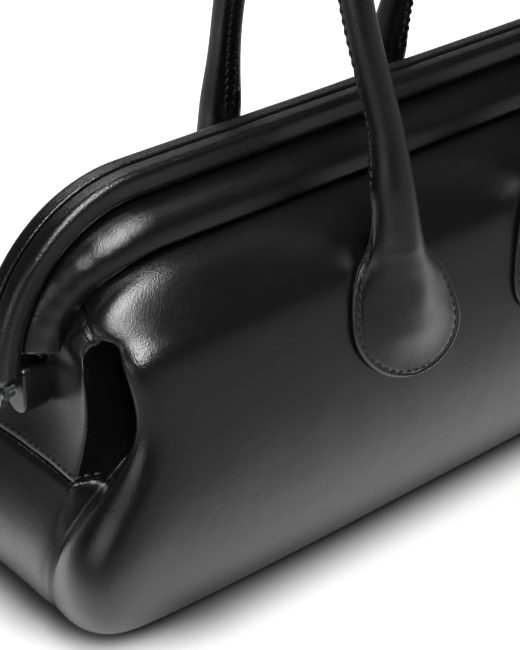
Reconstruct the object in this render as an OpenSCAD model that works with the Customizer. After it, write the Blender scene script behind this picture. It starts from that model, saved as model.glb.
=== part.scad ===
// Frame-topped doctor bag: a soft leather body under two hinged, leather-covered frames, with two
// rolled handles. Millimetres. The origin is under the middle of the base: +X runs along the bag,
// the front faces -Y and +Z is up. Every front piece has its mirror image at the back.

/* [Bag] */
// Length over the two ends of the base and of the rails
bag_length = 362; // [340:2:400]
// Depth of the body, front to back, where it is fullest
body_depth = 116; // [104:1:128]
// Height of the top of the rails
rail_top = 145; // [138:1:160]

/* [Leather] */
// Thickness of the leather of the body
leather = 2; // [1.4:0.1:2.4]
// Thickness of the leather over the rails and the handles
cover_leather = 1.2; // [0.8:0.1:1.6]
// Thickness of the lining cloth
lining_cloth = 0.8; // [0.5:0.1:1.2]
// Thickness of the stiff board in the base
board = 2; // [1.5:0.1:3]

/* [Tucks in the ends] */
// Height at which the tuck begins, over the full round of the base
tuck_low = 50; // [44:1:56]
// Height at which the tuck ends, under the arch of leather at the frame
tuck_high = 106; // [102:1:110]
// How far the edge of the front stands back from the end of the bag at the tuck
rim_set_back = 29; // [26:1:38]
// How far the bottom of the fold reaches in from the end of the bag
tuck_reach = 62; // [50:1:66]

/* [Rails and roll] */
// Height of the rail's D section
rail_h = 10; // [9:0.5:12]
// Depth of the rail's D section
rail_d = 7.5; // [7:0.5:9]
// Radius of the frame's corners, to the groove under the rail
corner_r = 49; // [44:1:54]
// Height of the padded roll under the rail
roll_h = 13; // [11:0.5:15]
// Depth of the padded roll along the top
roll_d = 18.5; // [16:0.5:20]
// Depth of the padded roll where it ends, beside the hinges
roll_end_d = 9; // [8:0.5:10]
// Gap between the two frames when the bag is shut
frame_gap = 1; // [0.6:0.1:2]

/* [Steel frame] */
// Thickness of the steel bars
bar_t = 1.5; // [1.2:0.1:1.8]
// Distance of the hinge under the centre of the frame's corners
hinge_drop = 6.5; // [6:0.1:8]
// Radius of the eyes at the ends of the bars
eye_r = 5; // [4.5:0.1:5.4]
// Radius of the rivets' shanks
rivet_r = 1.6; // [1.4:0.1:2]
// Radius of the rivets' heads
rivet_head_r = 3.2; // [2.8:0.1:4]

/* [Handles] */
// Diameter of the rolled handle
handle_d = 11.5; // [10:0.5:13]
// Distance between the centre lines of a handle's two legs
handle_spacing = 89; // [80:1:96]
// Height of the bend where a leg leaves its tab
handle_bend_z = 104; // [102:1:106]
// Length of each leg, from its bend to the start of the arch
leg_length = 99; // [80:1:115]
// Inward lean of the handles, in degrees
lean = 14.5; // [10:0.5:15]

/* [Handle tabs] */
// Height of the tab's lowest point
tab_foot_z = 56; // [50:1:62]
// Width of the tab where it is widest
tab_w = 47; // [38:1:54]
// Tilt of the tab on the panel, in degrees
tab_tilt = 9; // [0:1:12]

/* [Hidden] */
$fn = 48;

leather_colour = [0.10, 0.10, 0.11];
polished_colour = [0.16, 0.16, 0.17];
lining_colour = [0.45, 0.38, 0.30];
steel_colour = [0.70, 0.71, 0.73];
padding_colour = [0.80, 0.76, 0.68];
board_colour = [0.55, 0.45, 0.32];

seat = 0.3;                                  // clearance of soft pieces on other bodies
snug = 0.1;                                  // clearance between pieces of one body
floor_gap = 0.4;                             // the walls start this far above the floor

half_l = bag_length / 2;
half_d = body_depth / 2;
corner_x = half_l - corner_r - rail_h;       // centre of the frame's round corners
corner_z = rail_top - corner_r - rail_h;
hinge_z = corner_z - hinge_drop;
groove_r = corner_r - roll_h - seat;         // the walls meet the roll on this radius
groove_z = corner_z + groove_r;
inner_y = frame_gap / 2;                     // flat inner face of each frame

// ---- smooth surfaces ----

// Weights of four neighbouring control points for a cubic B-spline, f from 0 to 1.
function weights(f) = [pow(1 - f, 3), 3 * pow(f, 3) - 6 * f * f + 4,
    -3 * pow(f, 3) + 3 * f * f + 3 * f + 1, pow(f, 3)] / 6;
function held(list, i) = list[min(max(i, 0), len(list) - 1)];

// Point at s on the spline through a list of control points. The spline ends on its first and
// last points, at s = 0 and s = len + 1, and is nearest to point i at s = i + 1.
function on_spline(list, s) =
    let (last = len(list) + 1, k = min(floor(s), last - 1), w = weights(s - k))
    w[0] * held(list, k - 2) + w[1] * held(list, k - 1)
    + w[2] * held(list, k) + w[3] * held(list, k + 1);

// Grid of points on the surface of a net of control points: one row for each of vs.
function on_net(net, us, vs) =
    let (columns = [for (u = us) [for (row = net) on_spline(row, u)]])
    [for (v = vs) [for (c = columns) on_spline(c, v)]];

// Unit normal of a grid at row j, column i, by the differences of its neighbours.
function normal(g, j, i) =
    let (a = held(g[j], i + 1) - held(g[j], i - 1),
         b = held(g, j + 1)[i] - held(g, j - 1)[i],
         n = cross(a, b))
    n / norm(n);

// The same grid moved in under its surface.
function moved(g, by) = [for (j = [0:len(g) - 1]) [for (i = [0:len(g[0]) - 1])
    g[j][i] - by * normal(g, j, i)]];
function part(g, j0, j1, i0, i1) = [for (j = [j0:j1]) [for (i = [i0:i1]) g[j][i]]];
function flipped(g) = [for (row = g) [for (i = [len(row) - 1:-1:0]) row[i]]];

// Closed sheet between an outer grid and an inner grid of the same size.
module sheet(outer, inner) {
    rows = len(outer);
    cols = len(outer[0]);
    skin = rows * cols;
    function at(k, j, i) = k * skin + j * cols + i;
    function quad(a, b, c, d) = [[a, b, c], [a, c, d]];
    faces = [
        for (j = [0:rows - 2], i = [0:cols - 2])
            each quad(at(0, j, i), at(0, j + 1, i), at(0, j + 1, i + 1), at(0, j, i + 1)),
        for (j = [0:rows - 2], i = [0:cols - 2])
            each quad(at(1, j, i), at(1, j, i + 1), at(1, j + 1, i + 1), at(1, j + 1, i)),
        for (i = [0:cols - 2], e = [0, rows - 1])
            each e == 0 ? quad(at(0, e, i), at(0, e, i + 1), at(1, e, i + 1), at(1, e, i))
                : quad(at(0, e, i), at(1, e, i), at(1, e, i + 1), at(0, e, i + 1)),
        for (j = [0:rows - 2], e = [0, cols - 1])
            each e == 0 ? quad(at(0, j, e), at(1, j, e), at(1, j + 1, e), at(0, j + 1, e))
                : quad(at(0, j, e), at(0, j + 1, e), at(1, j + 1, e), at(1, j, e))
    ];
    points = [for (g = [outer, inner], row = g) each row];
    polyhedron(points, faces, convexity = 8);
}

// Closed solid through rings of points, the first and last ring being its flat ends.
module loft(rings) {
    n = len(rings[0]);
    last = len(rings) - 1;
    faces = [
        [for (i = [n - 1:-1:0]) i],
        [for (i = [0:n - 1]) last * n + i],
        for (j = [0:last - 1], i = [0:n - 1])
            let (a = j * n + i, b = j * n + (i + 1) % n)
            each [[a, b, b + n], [a, b + n, a + n]]
    ];
    polyhedron([for (ring = rings) each ring], faces, convexity = 6);
}

// ---- the walls ----

// Level cuts through the wall, from the base up: height, depth at the front, and how far the rim
// of the front, the bottom of the tuck and the strip between the tucks lie from the middle.
tuck_rise = tuck_high - tuck_low;
levels = [
    [floor_gap, half_d - 20, half_l - 23, half_l - 23, half_l - 23],
    [floor_gap, half_d - 7, half_l - 9, half_l - 9, half_l - 9],
    [7, half_d - 0.5, half_l - 1, half_l - 1, half_l - 1],
    [0.6 * tuck_low, half_d, half_l, half_l - 3, half_l - 3],
    [tuck_low, half_d - 1.5, half_l - rim_set_back + 17, half_l - 21, half_l - 14],
    [tuck_low + 0.36 * tuck_rise, half_d - 4, half_l - rim_set_back, half_l - tuck_reach, half_l - 19],
    [tuck_low + 0.71 * tuck_rise, half_d - 7.2, half_l - rim_set_back + 1, half_l - tuck_reach + 3,
        half_l - 19],
    [tuck_high, half_d - 16, half_l - rim_set_back, half_l - 27, half_l - 20]
];

// Half of one level cut, from the middle of the front round to the middle of the left end.
function level_cut(l) =
    let (z = l[0], y = l[1], rim = l[2], fold = l[3], strip = l[4],
         fold_y = 24 + z * 6 / 100,
         back = z > tuck_low ? 4 : 0)
    [[0, y, z], [55, y, z], [105, y - 0.5, z], [rim - 28, y - 1, z], [rim - 4, y - 1.5, z],
     [rim + 1, min(max(y - 16, fold_y + 10), y - 3), z], [rim - 0.3 * (rim - fold), fold_y + 5, z], [fold, fold_y, z],
     [strip - 0.3 * (strip - fold), fold_y - 4, z], [strip + 1, fold_y - 9, z],
     [strip - back, 8, z], [strip - back, 0, z]];

// Point beside the frame's corner: turned from the top of the corner, out from the groove.
function by_corner(turn, y, out) =
    [corner_x + (groove_r + out) * sin(turn), y, corner_z + (groove_r + out) * cos(turn)];
shoulder = [[0, half_d - 31, groove_z - 3.6], [55, half_d - 31, groove_z - 3.6],
    [corner_x - 22, half_d - 31, groove_z - 3.6],
    by_corner(7, half_d - 31.5, -3.3), by_corner(35, 25, 0.8), by_corner(45, 22.8, 3.4),
    by_corner(52, 21.3, 4.3), by_corner(58, 19.5, 5), by_corner(65, 17.3, 5.4), by_corner(72, 14, 4.6),
    by_corner(80, 8, -1.4), by_corner(86, 0, -1.4)];
groove = [[0, 15, groove_z - 0.3], [55, 15, groove_z - 0.3], [corner_x - 22, 15, groove_z - 0.3],
    by_corner(6, 14, -0.3), by_corner(20, 12, -0.3), by_corner(33, 10, -0.3), by_corner(42, 9, -0.3),
    by_corner(50, 8.5, -0.3), by_corner(58, 8, -0.5), by_corner(66, 7, -0.8), by_corner(76, 5, -1.8),
    by_corner(84, 0, -1.8)];

// Near the middle of the end the walls stop lower, so their upper rows close up towards it.
function closed_up(row) = [for (i = [0:11])
    let (room = shoulder[i][2] - 6 - tuck_low, z = row[i][2],
         up = z > tuck_low ? tuck_low + (z - tuck_low) * min(1, room / tuck_rise) : z)
    [row[i][0], row[i][1], up]];
half_net = concat([for (l = levels) closed_up(level_cut(l))], [shoulder, groove]);
function mirrored_x(p) = [-p[0], p[1], p[2]];
function to_front(p) = [p[0], -p[1], p[2]];
wall_net = [for (row = half_net) [for (p = concat([for (i = [11:-1:0]) mirrored_x(row[i])],
    [for (i = [1:11]) row[i]])) to_front(p)]];

// Stations on the net. The seam between the front and the end piece runs down the fold. Each grid
// has one column more than its piece at both sides, so that neighbours agree on the normals there.
fold_s = 5;
end_step = 0.5;
rim_step = 1 / 3;
end_us = [for (i = [0:fold_s / end_step]) i * end_step];
front_us = concat([for (i = [-1:11]) fold_s + i * (i < 0 ? end_step : rim_step)],
    [for (i = [9:15]) i], [for (i = [1:13]) 15 + i * rim_step + (i > 12 ? end_step - rim_step : 0)]);
wall_vs = [0, 1, 1.5, 2, 2.5, 3, 3.5, 4.25, 5.1, 6, 7, 8, 8.6, 9.2, 9.8, 10.4, 11];
seam_row = 8;                                // the end flap stops here and the gusset starts
top_row = len(wall_vs) - 1;

front_grid = on_net(wall_net, front_us, wall_vs);
end_half = on_net(wall_net, concat(end_us, [fold_s + rim_step]), wall_vs);
end_grid = [for (row = end_half) concat([for (i = [len(row) - 1:-1:1]) to_front(row[i])], row)];
function trimmed(g, low, high) = part(g, low, high, 1, len(g[0]) - 2);

// Rows low to high of a grid, as a sheet from one depth under its surface to another.
module wall(g, from_depth, to_depth, low, high) {
    sheet(trimmed(moved(g, from_depth), low, high), trimmed(moved(g, to_depth), low, high));
}
module front_leather() {
    wall(front_grid, 0, leather, 0, top_row);
}
module gusset_leather() {
    wall(end_grid, 0, leather, seam_row, top_row);
}
module flap_leather() {
    wall(end_grid, 0, leather, 0, seam_row);
}
lining_under = leather + seat;
module lining_of(g) {
    wall(g, lining_under, lining_under + lining_cloth, 3, top_row - 1);
}

module front_panel() {
    color(leather_colour) front_leather();
}
module back_panel() {
    color(leather_colour) mirror([0, 1, 0]) front_leather();
}
module left_gusset() {
    color(leather_colour) gusset_leather();
}
module right_gusset() {
    color(leather_colour) mirror([1, 0, 0]) gusset_leather();
}
module left_end_flap() {
    color(leather_colour) flap_leather();
}
module right_end_flap() {
    color(leather_colour) mirror([1, 0, 0]) flap_leather();
}

// ---- the base ----

base_edge = 0.5;                             // gap between the base and the walls round it
front_edge = trimmed(front_grid, 0, 0)[0];
end_edge = trimmed(end_grid, 0, 0)[0];
function pulled_in(p, by) = [p[0] * (1 - by / (half_l - 23)), p[1] * (1 - by / (half_d - 20))];
function outline(inset) = concat(
    [for (p = end_edge) pulled_in(p, inset)],
    [for (i = [1:len(front_edge) - 2]) pulled_in(front_edge[i], inset)],
    [for (i = [len(end_edge) - 1:-1:0]) pulled_in(mirrored_x(end_edge[i]), inset)],
    [for (i = [len(front_edge) - 2:-1:1]) pulled_in(to_front(front_edge[i]), inset)]);

module base_layer(low, thick, inset) {
    translate([0, 0, low]) linear_extrude(thick) polygon(outline(inset));
}
module base_panel() {
    color(leather_colour) base_layer(0, leather, base_edge);
}
module base_board() {
    color(board_colour) base_layer(leather, board, base_edge + 1);
}
module base_lining() {
    color(lining_colour) base_layer(leather + board, lining_cloth, base_edge + 1.5);
}
module front_lining() {
    color(lining_colour) lining_of(front_grid);
}
module back_lining() {
    color(lining_colour) mirror([0, 1, 0]) lining_of(front_grid);
}
module left_end_lining() {
    color(lining_colour) lining_of(end_grid);
}
module right_end_lining() {
    color(lining_colour) mirror([1, 0, 0]) lining_of(end_grid);
}

// ---- the frames ----

// Carries a flat profile round the frame: its x is the distance out from the centre of the
// corners, and its y the distance to the front.
module along_frame() {
    translate([-corner_x, 0, corner_z]) rotate([0, 0, 180]) rotate([0, -90, 0])
        linear_extrude(2 * corner_x) children();
    translate([corner_x, 0, corner_z]) rotate([90, 0, 0]) rotate_extrude(angle = 90) children();
    translate([-corner_x, 0, corner_z]) rotate([90, 0, 0]) rotate([0, 0, 90])
        rotate_extrude(angle = 90) children();
}

// D section of a rail, flat towards the other frame and round at the front, inset by a margin.
rail_round = 3.5;
module rail_section(inset) {
    r = rail_round - inset;
    low = corner_r + inset;
    high = corner_r + rail_h - inset;
    near = inner_y + inset;
    far = inner_y + rail_d - inset;
    translate([low, near]) square([high - low, far - near - r]);
    translate([low + r, near]) square([high - low - 2 * r, far - near]);
    for (x = [low + r, high - r]) translate([x, far - r]) circle(r);
}

// The two bars lie one inside the other, so that their eyes pass at the hinges.
bar_wrap = 0.9;                              // padding in front of a bar
bar_w = rail_d - 2 * cover_leather - 2 * snug - bar_wrap;
bar_gap = 0.2;
bar_slack = 0.25;                            // between a bar and the padding round it
function bar_from(k) = corner_r + rail_h / 2 - bar_t - bar_gap / 2 + k * (bar_t + bar_gap);
bar_y = inner_y + cover_leather + snug;
eye_bore_r = rivet_r + 0.06;

module frame_bar(k) {
    along_frame() translate([bar_from(k), bar_y]) square([bar_t, bar_w]);
}
// The eye is a plate that is welded to the left end of a bar and turns on the rivet.
module bar_eye(k) {
    translate([-corner_x - bar_from(k) - bar_t, 0, 0])
        difference() {
            union() {
                translate([0, -bar_y - bar_w, hinge_z]) cube([bar_t, bar_w, corner_z - hinge_z]);
                translate([0, 0, hinge_z]) rotate([0, 90, 0]) cylinder(r = eye_r, h = bar_t);
            }
            translate([-1, 0, hinge_z]) rotate([0, 90, 0]) cylinder(r = eye_bore_r, h = bar_t + 2);
        }
}
module rail_cover() {
    along_frame() difference() {
        rail_section(0);
        rail_section(cover_leather);
    }
}
module rail_core(k) {
    along_frame() difference() {
        rail_section(cover_leather + snug);
        translate([bar_from(k) - bar_slack, 0])
            square([bar_t + 2 * bar_slack, bar_y + bar_w + bar_slack]);
    }
}

// The padded roll under the rail is deepest along the top and thins out round the corners.
roll_low = corner_r - roll_h;
roll_high = corner_r - snug;
roll_end_turn = 80;
function roll_depth(turn) = roll_end_d + (roll_d - roll_end_d) * pow(cos(min(turn, 90)), 2);
function roll_ring(x0, turn, side) =
    let (d = roll_depth(turn), near = inner_y + snug, lip = min(d, rail_d + inner_y),
         h = roll_high - roll_low)
    [for (p = [[0, near], [0, 0.62 * d], [0.05 * h, 0.8 * d], [0.18 * h, 0.95 * d], [0.38 * h, d],
        [0.62 * h, 0.94 * d], [0.83 * h, 0.76 * d], [h, lip], [h, near]])
        [side * (x0 + (roll_low + p[0]) * sin(turn)), -near - p[1],
         corner_z + (roll_low + p[0]) * cos(turn)]];
turn_steps = 10;
module roll() {
    loft(concat(
        [for (i = [turn_steps:-1:0]) roll_ring(corner_x, i * roll_end_turn / turn_steps, -1)],
        [for (i = [0:turn_steps]) roll_ring(corner_x, i * roll_end_turn / turn_steps, 1)]));
}

module front_bar() {
    color(steel_colour) frame_bar(0);
}
module back_bar() {
    color(steel_colour) mirror([0, 1, 0]) frame_bar(1);
}
module front_left_eye() {
    color(steel_colour) bar_eye(0);
}
module front_right_eye() {
    color(steel_colour) mirror([1, 0, 0]) bar_eye(0);
}
module back_left_eye() {
    color(steel_colour) mirror([0, 1, 0]) bar_eye(1);
}
module back_right_eye() {
    color(steel_colour) mirror([0, 1, 0]) mirror([1, 0, 0]) bar_eye(1);
}
module front_rail_cover() {
    color(polished_colour) rail_cover();
}
module back_rail_cover() {
    color(polished_colour) mirror([0, 1, 0]) rail_cover();
}
module front_rail_core() {
    color(padding_colour) rail_core(0);
}
module back_rail_core() {
    color(padding_colour) mirror([0, 1, 0]) rail_core(1);
}
module front_roll() {
    color(polished_colour) roll();
}
module back_roll() {
    color(polished_colour) mirror([0, 1, 0]) roll();
}

// ---- the hinges ----

// The end of the roll is sewn to the gusset and holds the rivet that both bars turn on.
roll_end_out = corner_x + corner_r - 0.4;
roll_end_in = half_l - 21;
roll_end_top = 8;                            // above the hinge
roll_end_foot = 5;                           // below the hinge, to the centre of its round foot
roll_end_half = 5.5;
rivet_play = 0.06;
rivet_inside = roll_end_out - 6;
rivet_end = corner_x + bar_from(1) + bar_t + bar_gap;
head_t = 1.4;

module roll_end() {
    difference() {
        translate([-roll_end_out, 0, hinge_z]) rotate([90, 0, 90])
            linear_extrude(roll_end_out - roll_end_in) {
                translate([-roll_end_half, -roll_end_foot])
                    square([2 * roll_end_half, roll_end_top + roll_end_foot]);
                translate([0, -roll_end_foot]) circle(roll_end_half);
            }
        translate([-roll_end_out - 1, 0, hinge_z]) rotate([0, 90, 0])
            cylinder(r = rivet_r + rivet_play, h = roll_end_out + 1 - rivet_inside + snug);
    }
}
module rivet() {
    translate([-rivet_end - head_t, 0, hinge_z]) rotate([0, 90, 0]) {
        cylinder(r = rivet_head_r, h = head_t);
        cylinder(r = rivet_r, h = rivet_end + head_t - rivet_inside);
        translate([0, 0, rivet_end + head_t - corner_x - bar_from(0) + bar_gap])
            cylinder(r = rivet_head_r, h = corner_x + bar_from(0) - bar_gap - roll_end_out);
    }
}
module left_roll_end() {
    color(polished_colour) roll_end();
}
module right_roll_end() {
    color(polished_colour) mirror([1, 0, 0]) roll_end();
}
module left_rivet() {
    color(steel_colour) rivet();
}
module right_rivet() {
    color(steel_colour) mirror([1, 0, 0]) rivet();
}

// ---- the handles ----

handle_r = handle_d / 2;
// Depth of the front panel's face at a height, from the middle column of its grid.
middle = floor(len(front_us) / 2);
face_profile = [for (j = [4:13]) [front_grid[j][middle][2], -front_grid[j][middle][1]]];
function face_y(z) = lookup(z, face_profile);
handle_in = 0.1;                             // the handle stays this far inside the body's depth
bend_y = half_d - handle_r - handle_in;
leg_x = handle_spacing / 2;

// The front handle's own frame: its origin is between the bends, and +Z runs up its legs.
module at_bends() {
    translate([0, -bend_y, handle_bend_z]) rotate([-lean, 0, 0]) children();
}
// Two legs and their arch, drawn with a rod of radius r from a height above the bends.
module handle_path(r, start) {
    for (side = [-1, 1]) translate([side * leg_x, 0, start]) cylinder(r = r, h = leg_length - start);
    translate([0, 0, leg_length]) rotate([90, 0, 0])
        rotate_extrude(angle = 180) translate([leg_x, 0]) circle(r);
}
// Each leg ends in a round across the leg, which turns on its tab, and widens just above it.
flare_w = 30;
flare_h = 24;
flare_t = 3;
flare_from = 2;
knuckle_r = handle_r - 0.25;
thread_hole_r = 1.2;
module leg_foot() {
    rotate([0, 90, 0]) cylinder(r = knuckle_r, h = handle_d, center = true);
    translate([0, flare_t / 2, 0]) rotate([90, 0, 0]) linear_extrude(flare_t)
        polygon([[-flare_w / 2, flare_from], [flare_w / 2, flare_from],
            [handle_r, flare_from + flare_h], [-handle_r, flare_from + flare_h]]);
}
module handle_cover() {
    at_bends() difference() {
        union() {
            handle_path(handle_r, 0);
            for (side = [-1, 1]) translate([side * leg_x, 0, 0]) leg_foot();
        }
        handle_path(handle_r - cover_leather, handle_r);
        // the hole that the sewing thread leaves through the leg's foot, up to its core
        for (side = [-1, 1]) translate([side * leg_x, 0, -handle_r])
            cylinder(r = thread_hole_r, h = handle_d);
    }
}
module handle_core() {
    at_bends() handle_path(handle_r - cover_leather - snug, handle_r + snug);
}

// The tab is a leaf that lies on the panel, thick in the middle where it takes up the leg.
tab_top_z = handle_bend_z - handle_r - seat;
tab_edge_t = 2;
tab_steps = 12;
tab_seat = 0.5;                              // the wall curves back behind the tab
across = [-1, -0.8, -0.55, -0.28, 0, 0.28, 0.55, 0.8, 1];
function tab_half(t) = t < 0.35 ? tab_w / 2 * sqrt(1 - pow(1 - t / 0.35, 2)) * 0.98 + 1
    : tab_w / 2 * (1 - 0.32 * pow((t - 0.35) / 0.65, 2));
function tab_rise(t) = (bend_y + handle_r + seat - tab_seat - face_y(tab_top_z) - tab_edge_t) * pow(t, 2.2);
function tab_bulge(a, t) = pow(max(0, 1 - pow(abs(a) * tab_half(t) / (handle_r + 11 * (1 - t) + 2), 2)), 1);
function tab_point(a, t, out) =
    let (z = tab_foot_z + t * (tab_top_z - tab_foot_z),
         x = leg_x - tan(tab_tilt) * (tab_top_z - z) * 0.55 + a * tab_half(t))
    [-x, -face_y(z) - tab_seat - (out ? tab_edge_t + tab_rise(t) * tab_bulge(a, t) : 0), z];
tab_ts = [for (i = [0:tab_steps]) i == 0 ? 0.004 : pow(i / tab_steps, 1.3)];
function tab_grid(out) = [for (t = tab_ts) [for (a = across) tab_point(a, t, out)]];
module tab() {
    sheet(flipped(tab_grid(true)), flipped(tab_grid(false)));
}

module front_left_tab() {
    color(leather_colour) tab();
}
module front_right_tab() {
    color(leather_colour) mirror([1, 0, 0]) tab();
}
module back_left_tab() {
    color(leather_colour) mirror([0, 1, 0]) tab();
}
module back_right_tab() {
    color(leather_colour) mirror([0, 1, 0]) mirror([1, 0, 0]) tab();
}
module front_handle_cover() {
    color(polished_colour) handle_cover();
}
module front_handle_core() {
    color(padding_colour) handle_core();
}
module back_handle_cover() {
    color(polished_colour) mirror([0, 1, 0]) handle_cover();
}
module back_handle_core() {
    color(padding_colour) mirror([0, 1, 0]) handle_core();
}

front_panel();
back_panel();
left_gusset();
right_gusset();
left_end_flap();
right_end_flap();
base_panel();
base_board();
base_lining();
front_lining();
back_lining();
left_end_lining();
right_end_lining();
left_roll_end();
right_roll_end();
left_rivet();
right_rivet();
front_left_tab();
front_right_tab();
back_left_tab();
back_right_tab();
front_bar();
front_left_eye();
front_right_eye();
front_rail_cover();
front_rail_core();
front_roll();
back_bar();
back_left_eye();
back_right_eye();
back_rail_cover();
back_rail_core();
back_roll();
front_handle_cover();
front_handle_core();
back_handle_cover();
back_handle_core();
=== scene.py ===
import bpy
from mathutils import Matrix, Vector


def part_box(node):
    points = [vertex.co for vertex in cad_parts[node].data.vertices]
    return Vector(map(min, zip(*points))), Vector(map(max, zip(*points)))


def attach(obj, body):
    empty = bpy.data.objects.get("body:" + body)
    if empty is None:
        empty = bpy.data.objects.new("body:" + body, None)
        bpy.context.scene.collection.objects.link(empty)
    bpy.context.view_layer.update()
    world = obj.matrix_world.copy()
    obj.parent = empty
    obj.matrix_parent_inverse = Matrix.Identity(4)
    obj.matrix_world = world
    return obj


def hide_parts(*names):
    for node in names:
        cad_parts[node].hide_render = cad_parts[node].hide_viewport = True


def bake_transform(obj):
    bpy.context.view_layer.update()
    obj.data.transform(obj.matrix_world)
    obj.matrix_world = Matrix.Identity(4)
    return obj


bl_info = {
    "name": "Doctor Bag",
    "version": (1, 0, 0),
    "blender": (4, 5, 0),
    "location": "3D Viewport > Sidebar > Doctor Bag",
    "description": "Dresses the doctor bag in polished leather, cloth, thread and steel",
    "category": "Add Mesh",
}

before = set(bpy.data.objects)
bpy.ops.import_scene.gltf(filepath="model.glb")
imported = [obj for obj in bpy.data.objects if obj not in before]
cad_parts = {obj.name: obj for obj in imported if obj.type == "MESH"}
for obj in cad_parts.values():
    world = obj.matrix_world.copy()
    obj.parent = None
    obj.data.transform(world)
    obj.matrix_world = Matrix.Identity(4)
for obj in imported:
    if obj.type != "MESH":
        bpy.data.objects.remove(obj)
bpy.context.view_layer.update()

import math

import bpy
import numpy as np
from bpy.props import FloatProperty, FloatVectorProperty, PointerProperty
from bpy.types import NodeSocket, Operator, Panel, PropertyGroup
from mathutils import Matrix, Vector

MM = 0.001
SIDES, ENDS = ("front", "back"), ("left", "right")


def reach(node, axis, side):
    """How far a node of the frame reaches along an axis, on its low (0) or high (1) side."""
    return abs(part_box(node)[side][axis])


# ---------------------------------------------------------------- sizes and colours


def a_length(name, description, default):
    return FloatProperty(name=name, description=description, default=default, unit="LENGTH")


def a_colour(name, description, *rgb):
    return FloatVectorProperty(name=name, description=description, default=(*rgb, 1), size=4,
                               min=0, max=1, subtype="COLOR")


class BagSizes(PropertyGroup):
    """Sizes of the leather work. Those of the walls and the frame come from the CAD model."""

    half_length: a_length("Half length", "From the middle to the end of the base",
                          reach("left_end_flap", 0, 0))
    half_depth: a_length("Half depth", "From the middle to the widest place of a wall",
                         reach("front_panel", 1, 0))
    rail_top: a_length("Rail top", "Height of the closed frame", reach("front_rail_cover", 2, 1))
    wall_leather: a_length("Wall leather", "Thickness of the leather of the walls", 0.002)
    cover_leather: a_length("Cover leather", "Thickness of the leather round the handles", 0.0012)
    handle_width: a_length("Handle width", "Diameter of the rolled handles", 0.0112)
    leaf_width: a_length("Leaf width", "Widest place of the leaf that a handle ends in", 0.052)
    stitch_pitch: a_length("Stitch pitch", "Distance from stitch to stitch", 0.0035)
    stitch_margin: a_length("Stitch margin", "From the edge of the leather to its stitches", 0.0024)


class BagColours(PropertyGroup):
    """Colours of the finishes."""

    leather: a_colour("Leather", "Dyed and polished box leather", 0.0035, 0.0034, 0.0037)
    edge: a_colour("Cut edge", "Painted edge of the leather", 0.016, 0.0155, 0.0155)
    thread: a_colour("Thread", "Waxed sewing thread", 0.006, 0.006, 0.0065)
    lining: a_colour("Lining", "Woven cotton lining", 0.17, 0.125, 0.085)
    padding: a_colour("Padding", "Felt and rope inside the rails and handles", 0.55, 0.5, 0.42)
    board: a_colour("Board", "Pressed board in the base", 0.22, 0.15, 0.08)
    steel: a_colour("Steel", "Nickel-plated steel", 0.56, 0.57, 0.58)
    floor: a_colour("Floor", "Floor and backdrop", 0.8, 0.8, 0.8)


def mm(size):
    """A size of the leather work in millimetres."""
    return getattr(bpy.context.scene.bag_sizes, size) / MM


def dye(name, share=1.0):
    """A colour of the finishes, or that share of it as a darker one."""
    rgb = getattr(bpy.context.scene.bag_colours, name)[:3]
    return tuple(share * c for c in rgb) + (1,)


# ---------------------------------------------------------------- surfaces


def spline_weights(f):
    """The four weights of a cubic B-spline at each share f of the way between two points."""
    return np.stack([(1 - f) ** 3, 3 * f**3 - 6 * f**2 + 4, -3 * f**3 + 3 * f**2 + 3 * f + 1,
                     f**3]) / 6


def spline_basis(s, n):
    """Weights of n control points at each s from 0 to n + 1: a cubic B-spline whose first and
    last points are repeated, so that it ends on them."""
    s = np.atleast_1d(np.asarray(s, float))
    k = np.minimum(np.floor(s), n).astype(int)
    weights = spline_weights(s - k)
    basis = np.zeros((len(s), n))
    for j in range(4):
        np.add.at(basis, (np.arange(len(s)), np.clip(k - 2 + j, 0, n - 1)), weights[j])
    return basis


def on_net(net, us, vs):
    """Points of the tensor-product B-spline of a net: rows of the net along v, columns along u."""
    return np.einsum("vr,rcx,uc->vux", spline_basis(vs, len(net)), net,
                     spline_basis(us, net.shape[1]))


def on_line(points, n):
    """n points of the B-spline of a line of control points, from its first to its last."""
    return on_net(np.array([points], float), np.linspace(0, len(points) + 1, n), [0.0])[0]


def unit(v):
    """Vectors divided by their own length."""
    return v / np.maximum(np.linalg.norm(v, axis=-1, keepdims=True), 1e-12)


def grid_normals(g):
    """Unit normal of a grid: differences along its columns crossed with those along its rows."""
    return unit(np.cross(np.gradient(g, axis=1), np.gradient(g, axis=0)))


def smooth(x, low, high):
    """0 below low, 1 above high, and 3x^2 - 2x^3 between."""
    t = np.clip((x - low) / (high - low), 0, 1)
    return t * t * (3 - 2 * t)


def hump(x, width):
    """exp(-(x / width)^2): 1 at a seam, fading to either side of it."""
    return np.exp(-((x / width) ** 2))


def arc(points, axis=0):
    """Length along a grid's lines from their first point."""
    step = np.linalg.norm(np.diff(points, axis=axis), axis=-1)
    lead = [(0, 0)] * step.ndim
    lead[axis] = (1, 0)
    return np.cumsum(np.pad(step, lead), axis=axis)


def at_lengths(points, lengths):
    """Points of a line at lengths from its first point."""
    s = arc(points)
    return np.stack([np.interp(lengths, s, column) for column in points.T], 1)


def resampled(points, n):
    """The same line with n points at equal distances along it."""
    return at_lengths(points, np.linspace(0, arc(points)[-1], n))


def resampled_ring(points, n):
    """A closed flat line, whose last point is its first again, as n points at equal distances."""
    return resampled(points, n + 1)[:-1]


def around(n):
    """n angles once round a circle."""
    return np.linspace(0, 2 * np.pi, n, endpoint=False)


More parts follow.
